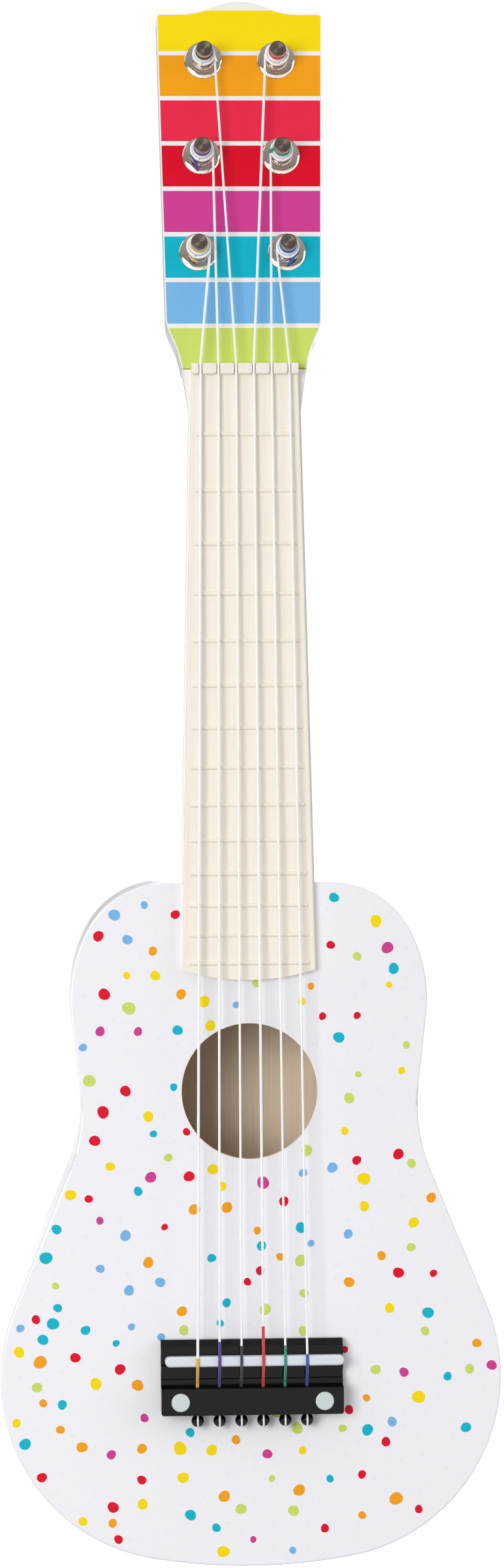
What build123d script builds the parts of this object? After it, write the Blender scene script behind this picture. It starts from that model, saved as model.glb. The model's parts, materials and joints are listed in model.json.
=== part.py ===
"""Children's acoustic guitar with six nylon strings and friction pegs.

Frame: +Z runs up the neck, the front faces -Y, X = 0 is the plane of symmetry. The origin is on the
front face of the neck, where the nut begins, so the soundboard's face is the plane Y = 0.
"""
from build123d import *
import os
from math import acos, asin, atan2, cos, degrees, hypot, radians, sin, sqrt

# Body
BODY_BOTTOM = -403.4
BODY_TOP = -171.7
# Each bout and the waist is a circle that reaches half its width out, at its height.
LOWER_BOUT_WIDTH = 170.1
LOWER_BOUT_Z = -339.4
LOWER_BOUT_RADIUS = 62.0
WAIST_WIDTH = 114.4
WAIST_Z = -247.7
WAIST_RADIUS = 58.0
UPPER_BOUT_WIDTH = 121.4
UPPER_BOUT_Z = -211.3
UPPER_BOUT_RADIUS = 50.0
SHOULDER_RADIUS = 30.0
BODY_DEPTH = 48.2
BOARD_THICKNESS = 2.6  # soundboard and back
SIDE_THICKNESS = 2.4
BOARD_EDGE_RADIUS = 0.8
SOUND_HOLE_DIAMETER = 46.0
SOUND_HOLE_Z = -242.4
LINING_WIDTH = 5.0
LINING_HEIGHT = 5.0
NECK_BLOCK_WIDTH = 44.0
NECK_BLOCK_LENGTH = 22.0
TAIL_BLOCK_WIDTH = 36.0
TAIL_BLOCK_LENGTH = 14.0
BRACE_WIDTH = 6.0
BRACE_HEIGHT = 7.0
TOP_BRACES = [(-212.0, 102.0), (-273.0, 105.0)]  # height and length
BACK_BRACES = [(-212.0, 102.0), (-285.0, 115.0), (-350.0, 148.0)]
BRIDGE_PLATE_THICKNESS = 3.0
BRIDGE_PLATE_SIDE_MARGIN = 4.0  # beyond the bridge at each end
BRIDGE_PLATE_MARGIN = 3.0  # beyond it in front and behind
NECK_SCREW_DEPTHS = [11.0, 26.0]
NECK_SCREW_DIAMETER = 4.0
NECK_SCREW_REACH = 9.0  # into the heel

# Neck and headstock
BOARD_LENGTH = 204.6  # fretboard
BOARD_WIDTH_NUT = 36.2
BOARD_WIDTH_END = 45.2
BOARD_HEIGHT = 3.5
NECK_MARGIN = 0.7  # of neck beside the fretboard
NECK_FLAT = 3.0  # straight side below the front face
NECK_DEPTH_NUT = 15.0
NECK_DEPTH_HEEL = 19.0
SHAFT_TOP = -12.0  # where the neck starts to widen into the headstock
HEEL_LENGTH = 22.0
HEEL_DEPTH = 43.0
HEAD_TILT = 10.0
HEAD_START = 2.0
HEAD_THICKNESS = 11.0
HEAD_WIDTH_START = 42.2
HEAD_WIDTH_LOW = 53.0
HEAD_LOW = 18.5
HEAD_WIDTH_TOP = 57.0
HEAD_TOP = 126.5
HEAD_CREST = 130.9

# Nut and frets, moulded in one piece with the fretboard
NUT_LENGTH = 3.7
NUT_HEIGHT = 6.3
NUT_SLOT_FLOOR = 4.9
NUT_SLOT_WIDTH = 1.3
NUT_CORNER = 0.8
FRET_COUNT = 14
FRET_SCALE = 358.6
FRET_RADIUS = 0.8
FRET_RISE = 0.65
FRET_MARGIN = 2.0

# Bridge
BRIDGE_WIDTH = 61.6
BRIDGE_FRONT = -326.1
BRIDGE_REAR = -350.9
BRIDGE_HEIGHT = 5.0
CLAMP_FRONT = -341.6
CLAMP_HEIGHT = 8.6
SADDLE_LENGTH = 60.4
SADDLE_WIDTH = 3.5
SADDLE_FRONT = -331.1
SADDLE_FLOOR = 2.6
SADDLE_TOP = 8.5
SADDLE_SHIFT = 0.8  # the rod has slid towards +X
STRING_HOLE_DIAMETER = 1.5
STRING_HOLE_HEIGHT = 4.9
SCREW_SPACING = 48.6
SCREW_Z = -346.4
CAP_DIAMETER = 6.2
BEAD_DIAMETER = 4.3
BEAD_HOLE = 1.4

# Pegs: place across and up the headstock, and the turn at which each knob was left
PEG_PLACES = [(15.1, 41.2), (13.6, 75.4), (12.5, 109.6), (-12.5, 109.6), (-13.6, 75.4), (-15.1, 41.2)]
KNOB_TURNS = [12.0, -35.0, 50.0, -8.0, 28.0, -60.0]
# String 1 is on the +X side.
STRING_DIAMETERS = [0.80, 0.80, 0.90, 0.80, 0.85, 0.95]
STRING_SPACING_NUT = 6.0
STRING_SPACING_SADDLE = 7.4
STRING_BEND_RADII = [4.0, 3.0, 2.5]  # at the nut, the saddle and the bridge's rear block
STRING_CLEARANCE = 0.08
NUT_CLEARANCE = 0.03  # between a string and the floor of its slot
NUT_CORNER_OFFSET = 0.1  # past the nut's rear face
SADDLE_CLEARANCE = 0.05
SADDLE_CORNER_OFFSET = 0.5  # before the saddle's rear edge
CLAMP_CORNER_OFFSET = 1.2  # before the rear block
KNOT_DEPTH = 0.8  # of a bead's diameter, where a string ends in its bead
POST_DIAMETER = 5.6
POST_WAIST_DIAMETER = 4.8
POST_RISE = 12.0
POST_TANG_DIAMETER = 4.0
POST_CROSS_HOLE = 1.3
WINDING_LOW = 4.1
WINDING_TURNS = 4
BUSH_BORE = POST_DIAMETER + 0.1
BUSH_SLEEVE_DIAMETER = 8.4
BUSH_SLEEVE_LENGTH = 4.0
FERRULE_DIAMETER = 13.2
FERRULE_HEIGHT = 1.7
REAR_WASHER_DIAMETER = 11.0
REAR_WASHER_THICKNESS = 1.2
KNOB_GAP = 0.1
KNOB_COLLAR_DIAMETER = 10.0
KNOB_COLLAR_LENGTH = 4.5
KNOB_LENGTH = 15.0
KNOB_WING_LENGTH = 20.0
KNOB_WING_WIDTH = 6.5
KNOB_SCREW_DIAMETER = 2.0
KNOB_SCREW_HEAD = 4.4
KNOB_SCREW_SEAT = 1.4
KNOB_SCREW_GRIP = 6.0  # thread in the post
KNOB_FLOOR = 3.6  # plastic between the screw's head and the post

CUT_REACH = 60.0  # a length past any edge, for cutting tools
HEAD_PLANE = Plane(
    origin=(0, 0, HEAD_START),
    x_dir=(1, 0, 0),
    z_dir=(0, -cos(radians(HEAD_TILT)), sin(radians(HEAD_TILT))),
)


def depth_plane(depth):
    """The XZ plane at a depth behind the soundboard's face, looking at the front."""
    return Plane.XZ.offset(-depth)


def peg_plane(place, rise=0.0):
    """The plane of a peg, its Z pointing out of the headstock's front."""
    across, up = place
    return Plane(HEAD_PLANE.from_local_coords((across, up, rise)), HEAD_PLANE.x_dir, HEAD_PLANE.z_dir)


def finish(builder, label):
    """Labels a finished piece and writes its STEP file."""
    builder.part.label = label
    export_step(builder.part, f"parts/{label}.step")


os.makedirs("parts", exist_ok=True)

# ---------------------------------------------------------------- body
lower_bout = Vector(LOWER_BOUT_WIDTH / 2 - LOWER_BOUT_RADIUS, LOWER_BOUT_Z)
waist = Vector(WAIST_WIDTH / 2 + WAIST_RADIUS, WAIST_Z)
upper_bout = Vector(UPPER_BOUT_WIDTH / 2 - UPPER_BOUT_RADIUS, UPPER_BOUT_Z)

# The bottom is one wide arc about a point on the axis, which touches the lower bout from outside.
bout_rise = lower_bout.Y - BODY_BOTTOM
bout_gap = bout_rise - LOWER_BOUT_RADIUS
bottom_radius = (lower_bout.X**2 + bout_rise**2 - LOWER_BOUT_RADIUS**2) / (2 * bout_gap)
bottom_centre = Vector(0, BODY_BOTTOM + bottom_radius)
bottom_end = lower_bout + (lower_bout - bottom_centre).normalized() * LOWER_BOUT_RADIUS

# The shoulder is a smaller arc inside the upper bout, which ends level with the top.
shoulder_rise = BODY_TOP - SHOULDER_RADIUS - upper_bout.Y
shoulder_reach = sqrt((UPPER_BOUT_RADIUS - SHOULDER_RADIUS) ** 2 - shoulder_rise**2)
shoulder = upper_bout + Vector(shoulder_reach, shoulder_rise)
shoulder_start = upper_bout + (shoulder - upper_bout).normalized() * UPPER_BOUT_RADIUS


def flank(bout, bout_radius, side):
    """The straight flank that touches a bout and the waist: its end on the bout and its end on the waist."""
    across = waist - bout
    lean = degrees(acos((bout_radius + WAIST_RADIUS) / across.length))
    outward = across.normalized().rotate(Axis.Z, side * lean)
    return bout + outward * bout_radius, waist - outward * WAIST_RADIUS


lower_flank_start, lower_flank_end = flank(lower_bout, LOWER_BOUT_RADIUS, -1)
upper_flank_end, upper_flank_start = flank(upper_bout, UPPER_BOUT_RADIUS, 1)

with BuildSketch() as outline:
    with BuildLine():
        bottom_arc = TangentArc((0, BODY_BOTTOM), bottom_end, tangent=(1, 0))
        lower_arc = TangentArc(bottom_end, lower_flank_start, tangent=bottom_arc % 1)
        lower_flank = Line(lower_flank_start, lower_flank_end)
        waist_arc = TangentArc(lower_flank_end, upper_flank_start, tangent=lower_flank % 1)
        upper_flank = Line(upper_flank_start, upper_flank_end)
        upper_arc = TangentArc(upper_flank_end, shoulder_start, tangent=upper_flank % 1)
        TangentArc(shoulder_start, (shoulder.X, BODY_TOP), tangent=upper_arc % 1)
        Line((shoulder.X, BODY_TOP), (0, BODY_TOP))
        mirror(about=Plane.YZ)
    make_face()

with BuildSketch() as inside:
    add(outline.sketch)
    offset(amount=-SIDE_THICKNESS)

with BuildSketch() as inside_lining:
    add(outline.sketch)
    offset(amount=-SIDE_THICKNESS - LINING_WIDTH)

SIDE_FRONT = BOARD_THICKNESS
SIDE_BACK = BODY_DEPTH - BOARD_THICKNESS
SIDE_HEIGHT = SIDE_BACK - SIDE_FRONT
INSIDE_TOP = BODY_TOP - SIDE_THICKNESS
INSIDE_BOTTOM = BODY_BOTTOM + SIDE_THICKNESS
SCREW_PLACES = [(-SCREW_SPACING / 2, SCREW_Z), (SCREW_SPACING / 2, SCREW_Z)]
BRIDGE_SCREW_DIAMETER = 3.0
CLAMP_MIDDLE = (CLAMP_FRONT + BRIDGE_REAR) / 2

with BuildPart() as soundboard:
    with BuildSketch(depth_plane(0)):
        add(outline.sketch)
    extrude(amount=-BOARD_THICKNESS)
    fillet(soundboard.faces().sort_by(Axis.Y)[0].outer_wire().edges(), BOARD_EDGE_RADIUS)
    with BuildSketch(depth_plane(0)):
        with Locations((0, SOUND_HOLE_Z)):
            Circle(SOUND_HOLE_DIAMETER / 2)
        with Locations(*SCREW_PLACES):
            Circle(BRIDGE_SCREW_DIAMETER / 2)
    extrude(amount=-BOARD_THICKNESS, mode=Mode.SUBTRACT)
finish(soundboard, "soundboard")

with BuildPart() as back_board:
    with BuildSketch(depth_plane(SIDE_BACK)):
        add(outline.sketch)
    extrude(amount=-BOARD_THICKNESS)
    fillet(back_board.faces().sort_by(Axis.Y)[-1].outer_wire().edges(), BOARD_EDGE_RADIUS)
finish(back_board, "back_board")

# The two bent sides meet in seams at the neck and at the tail.
for label, direction in (("left_side", -1), ("right_side", 1)):
    with BuildPart() as side:
        with BuildSketch(depth_plane(SIDE_FRONT)):
            add(outline.sketch)
            add(inside.sketch, mode=Mode.SUBTRACT)
            with Locations((-direction * BODY_DEPTH * 2, (BODY_BOTTOM + BODY_TOP) / 2)):
                Rectangle(BODY_DEPTH * 4, CUT_REACH - BODY_BOTTOM, mode=Mode.SUBTRACT)
        extrude(amount=-SIDE_HEIGHT)
        for depth in NECK_SCREW_DEPTHS:
            with Locations(Location((0, depth, BODY_TOP))):
                Cylinder(NECK_SCREW_DIAMETER / 2, CUT_REACH, mode=Mode.SUBTRACT)
    finish(side, label)

# Glued strips in the corners between the sides and the boards, stopped at the two end blocks.
for label, depth in (("top_lining", SIDE_FRONT), ("back_lining", SIDE_BACK - LINING_HEIGHT)):
    with BuildPart() as lining:
        with BuildSketch(depth_plane(depth)):
            add(inside.sketch)
            add(inside_lining.sketch, mode=Mode.SUBTRACT)
            with Locations((0, INSIDE_TOP)):
                Rectangle(NECK_BLOCK_WIDTH, NECK_BLOCK_LENGTH * 2, mode=Mode.SUBTRACT)
            with Locations((0, INSIDE_BOTTOM)):
                Rectangle(TAIL_BLOCK_WIDTH, TAIL_BLOCK_LENGTH * 2, mode=Mode.SUBTRACT)
        extrude(amount=-LINING_HEIGHT)
    finish(lining, label)

with BuildPart() as neck_block:
    with BuildSketch(depth_plane(SIDE_FRONT)):
        with Locations((0, INSIDE_TOP - NECK_BLOCK_LENGTH / 2)):
            Rectangle(NECK_BLOCK_WIDTH, NECK_BLOCK_LENGTH)
    extrude(amount=-SIDE_HEIGHT)
    for depth in NECK_SCREW_DEPTHS:
        with Locations(Location((0, depth, INSIDE_TOP))):
            Cylinder(NECK_SCREW_DIAMETER / 2, CUT_REACH, mode=Mode.SUBTRACT)
finish(neck_block, "neck_block")

with BuildPart() as tail_block:
    with BuildSketch(depth_plane(SIDE_FRONT)):
        with Locations((0, INSIDE_BOTTOM)):
            Rectangle(TAIL_BLOCK_WIDTH, TAIL_BLOCK_LENGTH * 2)
        add(inside.sketch, mode=Mode.INTERSECT)
    extrude(amount=-SIDE_HEIGHT)
finish(tail_block, "tail_block")

for label, braces, front in (
    ("top_braces", TOP_BRACES, SIDE_FRONT),
    ("back_braces", BACK_BRACES, SIDE_BACK - BRACE_HEIGHT),
):
    with BuildPart() as brace_group:
        for height, length in braces:
            with Locations((0, front + BRACE_HEIGHT / 2, height)):
                Box(length, BRACE_HEIGHT, BRACE_WIDTH)
    finish(brace_group, label)

with BuildPart() as bridge_plate:
    plate_length = BRIDGE_FRONT - BRIDGE_REAR + 2 * BRIDGE_PLATE_MARGIN
    with Locations((0, SIDE_FRONT + BRIDGE_PLATE_THICKNESS / 2, (BRIDGE_FRONT + BRIDGE_REAR) / 2)):
        Box(BRIDGE_WIDTH + 2 * BRIDGE_PLATE_SIDE_MARGIN, BRIDGE_PLATE_THICKNESS, plate_length)
    with BuildSketch(depth_plane(SIDE_FRONT)):
        with Locations(*SCREW_PLACES):
            Circle(BRIDGE_SCREW_DIAMETER / 2)
    extrude(amount=-BRIDGE_PLATE_THICKNESS, mode=Mode.SUBTRACT)
finish(bridge_plate, "bridge_plate")

# ---------------------------------------------------------------- neck
def neck_width(z):
    """Width of the neck where the fretboard lies on it."""
    share = -z / BOARD_LENGTH
    return BOARD_WIDTH_NUT + (BOARD_WIDTH_END - BOARD_WIDTH_NUT) * share + 2 * NECK_MARGIN


def neck_profile(height, width, flank, depth):
    """A flat front, straight flanks and a half ellipse behind, on the level plane at a height."""
    with BuildSketch(Plane.XY.offset(height)) as profile:
        with BuildLine():
            Polyline((-width / 2, flank), (-width / 2, 0), (width / 2, 0), (width / 2, flank))
            EllipticalCenterArc((0, flank), width / 2, depth - flank, start_angle=0, arc_size=180)
        make_face()
    return profile.sketch


HEEL_TOP = BODY_TOP + HEEL_LENGTH
HEEL_PROFILES = [
    neck_profile(BODY_TOP, neck_width(BODY_TOP), NECK_FLAT, HEEL_DEPTH),
    neck_profile(BODY_TOP + 5, neck_width(BODY_TOP + 5), NECK_FLAT, HEEL_DEPTH - 3),
    neck_profile(BODY_TOP + 12, neck_width(BODY_TOP + 12), NECK_FLAT, HEEL_DEPTH - 15),
    neck_profile(HEEL_TOP, neck_width(HEEL_TOP), NECK_FLAT, NECK_DEPTH_HEEL),
]
SHAFT_PROFILES = [
    neck_profile(HEEL_TOP, neck_width(HEEL_TOP), NECK_FLAT, NECK_DEPTH_HEEL),
    neck_profile(SHAFT_TOP, neck_width(SHAFT_TOP), NECK_FLAT, NECK_DEPTH_NUT),
    neck_profile(HEAD_START, HEAD_WIDTH_START, HEAD_THICKNESS - 3, HEAD_THICKNESS + 1),
]

with BuildPart() as neck:
    loft(HEEL_PROFILES)
    loft(SHAFT_PROFILES, ruled=True)
    # Headstock: a flat slab, its shoulders curving in to the neck and its top crowned.
    with BuildSketch(HEAD_PLANE):
        with BuildLine():
            shoulder = Spline(
                (HEAD_WIDTH_START / 2, 0),
                (HEAD_WIDTH_START / 2 + 2.4, HEAD_LOW * 0.49),
                (HEAD_WIDTH_LOW / 2, HEAD_LOW),
                tangents=[(0.2, 1), (0.02, 1)],
            )
            flank = Polyline(shoulder @ 1, (HEAD_WIDTH_TOP / 2, HEAD_TOP), (HEAD_WIDTH_TOP * 0.36, HEAD_TOP))
            Spline(
                flank @ 1,
                (HEAD_WIDTH_TOP * 0.2, HEAD_TOP + 1.5),
                (0, HEAD_CREST),
                tangents=[(-1, 0), (-1, 0)],
            )
            Line((HEAD_WIDTH_START / 2, 0), (0, 0))
            mirror(about=Plane.YZ)
        make_face()
    extrude(amount=-HEAD_THICKNESS)
    corner_edges = neck.edges().filter_by(
        lambda edge: abs(HEAD_PLANE.to_local_coords(edge.center()).Y - HEAD_TOP) < 0.5
        and abs(edge.center().X) > HEAD_WIDTH_TOP / 2 - 0.1
        and abs(edge.length - HEAD_THICKNESS) < 0.1
    )
    fillet(corner_edges, 1.4)
    for place in PEG_PLACES:
        with Locations(peg_plane(place, -HEAD_THICKNESS / 2)):
            Cylinder(BUSH_SLEEVE_DIAMETER / 2, HEAD_THICKNESS, mode=Mode.SUBTRACT)
    for depth in NECK_SCREW_DEPTHS:
        with Locations(Location((0, depth, BODY_TOP + NECK_SCREW_REACH / 2))):
            Cylinder(NECK_SCREW_DIAMETER / 2, NECK_SCREW_REACH, mode=Mode.SUBTRACT)
finish(neck, "neck")

with BuildPart() as neck_screws:
    screw_bottom = INSIDE_TOP - NECK_BLOCK_LENGTH
    shank = BODY_TOP + NECK_SCREW_REACH - screw_bottom
    for depth in NECK_SCREW_DEPTHS:
        with Locations(Location((0, depth, screw_bottom + shank / 2))):
            Cylinder(NECK_SCREW_DIAMETER / 2, shank)
        with Locations(Location((0, depth, screw_bottom - 1.2))):
            Cylinder(NECK_SCREW_DIAMETER, 2.4)
            Box(5, 1, 1.6, align=(Align.CENTER, Align.CENTER, Align.MAX), mode=Mode.SUBTRACT)
finish(neck_screws, "neck_screws")

# ---------------------------------------------------------------- fretboard
def string_x(number, spacing):
    """Sideways place of a string; string 1 is on the +X side."""
    return (3.5 - number) * spacing


with BuildPart() as fretboard:
    with BuildSketch(depth_plane(0)):
        with BuildLine():
            rim = Polyline(
                (BOARD_WIDTH_END / 2, -BOARD_LENGTH + 3.4),
                (BOARD_WIDTH_NUT / 2, 0),
                (BOARD_WIDTH_NUT / 2, NUT_LENGTH),
                (-BOARD_WIDTH_NUT / 2, NUT_LENGTH),
                (-BOARD_WIDTH_NUT / 2, 0),
                (-BOARD_WIDTH_END / 2, -BOARD_LENGTH + 3.4),
            )
            ThreePointArc(rim @ 1, (0, -BOARD_LENGTH), rim @ 0)
        make_face()
    extrude(amount=BOARD_HEIGHT)
    long_edges = fretboard.faces().sort_by(Axis.Y)[0].edges().sort_by(SortBy.LENGTH)[-2:]
    fillet(long_edges, 0.6)
    for number in range(1, FRET_COUNT + 1):
        fret_z = -FRET_SCALE * (1 - 2 ** (-number / 12))
        fret_length = neck_width(fret_z) - 2 * NECK_MARGIN - 2 * FRET_MARGIN
        with Locations(Location((0, -BOARD_HEIGHT - FRET_RISE + FRET_RADIUS, fret_z), (0, 90, 0))):
            Cylinder(FRET_RADIUS, fret_length)
    # The nut is a low bar that carries a rounded tooth between each two strings and one at each end.
    with BuildSketch(depth_plane(-BOARD_HEIGHT)):
        with Locations((0, NUT_LENGTH / 2)):
            Rectangle(BOARD_WIDTH_NUT, NUT_LENGTH)
    extrude(amount=NUT_SLOT_FLOOR - BOARD_HEIGHT)
    tooth_width = STRING_SPACING_NUT - NUT_SLOT_WIDTH
    outer_slot = 2.5 * STRING_SPACING_NUT + NUT_SLOT_WIDTH / 2
    end_width = BOARD_WIDTH_NUT / 2 - outer_slot
    end_x = outer_slot + end_width / 2
    with BuildSketch(depth_plane(-NUT_SLOT_FLOOR)):
        with Locations(*[(n * STRING_SPACING_NUT, NUT_LENGTH / 2) for n in range(-2, 3)]):
            RectangleRounded(tooth_width, NUT_LENGTH, NUT_CORNER)
        with Locations((-end_x, NUT_LENGTH / 2), (end_x, NUT_LENGTH / 2)):
            RectangleRounded(end_width, NUT_LENGTH, NUT_CORNER)
    extrude(amount=NUT_HEIGHT - NUT_SLOT_FLOOR)
    fillet(fretboard.faces().filter_by_position(Axis.Y, -NUT_HEIGHT - 0.1, -NUT_HEIGHT + 0.1).edges(), 0.35)
finish(fretboard, "fretboard")

# ---------------------------------------------------------------- bridge
BRIDGE_PROFILE = [  # height above the soundboard and Z, from the neck side to the tail side
    (0, BRIDGE_FRONT),
    (2.0, BRIDGE_FRONT),
    (BRIDGE_HEIGHT, BRIDGE_FRONT - 2.0),
    (BRIDGE_HEIGHT, SADDLE_FRONT),
    (SADDLE_FLOOR, SADDLE_FRONT),
    (SADDLE_FLOOR, SADDLE_FRONT - SADDLE_WIDTH),
    (BRIDGE_HEIGHT - 0.4, SADDLE_FRONT - SADDLE_WIDTH),
    (BRIDGE_HEIGHT - 0.4, SADDLE_FRONT - SADDLE_WIDTH - 1.6),
    (BRIDGE_HEIGHT - 2.4, SADDLE_FRONT - SADDLE_WIDTH - 1.9),
    (BRIDGE_HEIGHT - 2.4, CLAMP_FRONT + 2.3),
    (BRIDGE_HEIGHT - 1.2, CLAMP_FRONT + 2.3),
    (BRIDGE_HEIGHT - 1.2, CLAMP_FRONT),
    (CLAMP_HEIGHT, CLAMP_FRONT),
    (CLAMP_HEIGHT, BRIDGE_REAR),
    (0, BRIDGE_REAR),
]
CAP_RECESS_DEPTH = 2.6
CAP_RISE = 0.5
SCREW_HEAD_HEIGHT = 1.6

with BuildPart() as bridge:
    with BuildSketch(Plane.YZ):
        with BuildLine():
            Polyline([(-height, z) for height, z in BRIDGE_PROFILE], close=True)
        make_face()
    extrude(amount=BRIDGE_WIDTH / 2, both=True)
    end_edges = bridge.edges().filter_by(Axis.Y).group_by(Axis.X)
    fillet((end_edges[0] + end_edges[-1]).filter_by_position(Axis.Z, BRIDGE_REAR - 1, BRIDGE_REAR + 0.1), 0.9)
    top_edges = bridge.faces().sort_by(Axis.Y)[0].edges()
    fillet(top_edges, 0.35)
    with Locations(
        *[
            Location((string_x(n, STRING_SPACING_SADDLE), -STRING_HOLE_HEIGHT, CLAMP_MIDDLE))
            for n in range(1, 7)
        ]
    ):
        Cylinder(STRING_HOLE_DIAMETER / 2, CLAMP_FRONT - BRIDGE_REAR + 1, mode=Mode.SUBTRACT)
    with BuildSketch(depth_plane(-CLAMP_HEIGHT)):
        with Locations(*SCREW_PLACES):
            Circle(CAP_DIAMETER / 2)
    extrude(amount=-CAP_RECESS_DEPTH - SCREW_HEAD_HEIGHT, mode=Mode.SUBTRACT)
    with BuildSketch(depth_plane(0)):
        with Locations(*SCREW_PLACES):
            Circle(BRIDGE_SCREW_DIAMETER / 2)
    extrude(amount=CLAMP_HEIGHT, mode=Mode.SUBTRACT)
finish(bridge, "bridge")

with BuildPart() as saddle:
    with BuildSketch(depth_plane(-SADDLE_FLOOR)):
        with Locations((SADDLE_SHIFT, SADDLE_FRONT - SADDLE_WIDTH / 2)):
            SlotOverall(SADDLE_LENGTH, SADDLE_WIDTH)
    extrude(amount=SADDLE_TOP - SADDLE_FLOOR)
    fillet(saddle.faces().sort_by(Axis.Y)[0].edges(), 0.9)
finish(saddle, "saddle")

with BuildPart() as screw_caps:
    with BuildSketch(depth_plane(-CLAMP_HEIGHT + CAP_RECESS_DEPTH)):
        with Locations(*SCREW_PLACES):
            Circle(CAP_DIAMETER / 2)
    extrude(amount=CAP_RECESS_DEPTH + CAP_RISE)
    fillet(screw_caps.faces().group_by(Axis.Y)[0].edges(), 0.4)
finish(screw_caps, "screw_caps")

with BuildPart() as bridge_screws:
    head_base = -CLAMP_HEIGHT + CAP_RECESS_DEPTH + SCREW_HEAD_HEIGHT
    with BuildSketch(depth_plane(head_base)):
        with Locations(*SCREW_PLACES):
            Circle(CAP_DIAMETER / 2 - 0.3)
    extrude(amount=SCREW_HEAD_HEIGHT)
    with BuildSketch(depth_plane(head_base)):
        with Locations(*SCREW_PLACES):
            Circle(BRIDGE_SCREW_DIAMETER / 2)
    extrude(amount=head_base - SIDE_FRONT - BRIDGE_PLATE_THICKNESS - 3)
finish(bridge_screws, "bridge_screws")

with BuildPart() as string_beads:
    for n in range(1, 7):
        x = string_x(n, STRING_SPACING_SADDLE)
        with Locations((x, -STRING_HOLE_HEIGHT, BRIDGE_REAR - BEAD_DIAMETER / 2 - 0.02)):
            Sphere(BEAD_DIAMETER / 2)
            Cylinder(BEAD_HOLE / 2, BEAD_DIAMETER, mode=Mode.SUBTRACT)
finish(string_beads, "string_beads")

# ---------------------------------------------------------------- pegs
KNOB_FRONT = -HEAD_THICKNESS - REAR_WASHER_THICKNESS - KNOB_GAP
KNOB_END = KNOB_FRONT - KNOB_LENGTH
TANG_END = KNOB_END + KNOB_SCREW_SEAT + KNOB_FLOOR


def peg_section(place):
    """The plane through a peg's axis: X is the distance from the axis and Y the rise from the headstock."""
    peg = peg_plane(place)
    return Plane(peg.origin, x_dir=peg.x_dir, z_dir=-peg.y_dir)


def peg_axis(place):
    peg = peg_plane(place)
    return Axis(peg.origin, peg.z_dir)


FERRULE_PROFILE = [  # radius and rise, from the bore outwards; a dome joins the last two points
    (BUSH_BORE / 2, -BUSH_SLEEVE_LENGTH),
    (BUSH_SLEEVE_DIAMETER / 2, -BUSH_SLEEVE_LENGTH),
    (BUSH_SLEEVE_DIAMETER / 2, 0),
    (FERRULE_DIAMETER / 2, 0),
    (FERRULE_DIAMETER / 2, 0.3),
]
HUB_RADIUS = 3.9

with BuildPart() as ferrules:
    for place in PEG_PLACES:
        with BuildSketch(peg_section(place)):
            with BuildLine():
                lower = Polyline(FERRULE_PROFILE)
                dome = ThreePointArc(lower @ 1, (5.4, 0.95), (HUB_RADIUS, 1.25))
                hub_edge = (HUB_RADIUS - 0.3, FERRULE_HEIGHT)
                Polyline(dome @ 1, hub_edge, (BUSH_BORE / 2, FERRULE_HEIGHT), lower @ 0)
            make_face()
        revolve(axis=peg_axis(place))
finish(ferrules, "ferrules")

REAR_BUSH_PROFILE = [  # radius and rise
    (BUSH_BORE / 2, -HEAD_THICKNESS + BUSH_SLEEVE_LENGTH),
    (BUSH_SLEEVE_DIAMETER / 2, -HEAD_THICKNESS + BUSH_SLEEVE_LENGTH),
    (BUSH_SLEEVE_DIAMETER / 2, -HEAD_THICKNESS),
    (REAR_WASHER_DIAMETER / 2, -HEAD_THICKNESS),
    (REAR_WASHER_DIAMETER / 2, -HEAD_THICKNESS - REAR_WASHER_THICKNESS),
    (BUSH_BORE / 2, -HEAD_THICKNESS - REAR_WASHER_THICKNESS),
]

with BuildPart() as rear_bushes:
    for place in PEG_PLACES:
        with BuildSketch(peg_section(place)):
            with BuildLine():
                Polyline(REAR_BUSH_PROFILE, close=True)
            make_face()
        revolve(axis=peg_axis(place))
finish(rear_bushes, "rear_bushes")

POST_PROFILE = [  # radius and rise, from the tang up to the cap
    (0, TANG_END),
    (POST_TANG_DIAMETER / 2, TANG_END),
    (POST_TANG_DIAMETER / 2, KNOB_FRONT),
    (POST_DIAMETER / 2, KNOB_FRONT),
    (POST_DIAMETER / 2, WINDING_LOW - 0.4),
    (POST_WAIST_DIAMETER / 2, WINDING_LOW),
    (POST_WAIST_DIAMETER / 2, POST_RISE - 2.0),
    (POST_DIAMETER / 2, POST_RISE - 1.6),
    (POST_DIAMETER / 2, POST_RISE - 0.3),
    (POST_DIAMETER / 2 - 0.3, POST_RISE),
    (0, POST_RISE),
]

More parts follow.
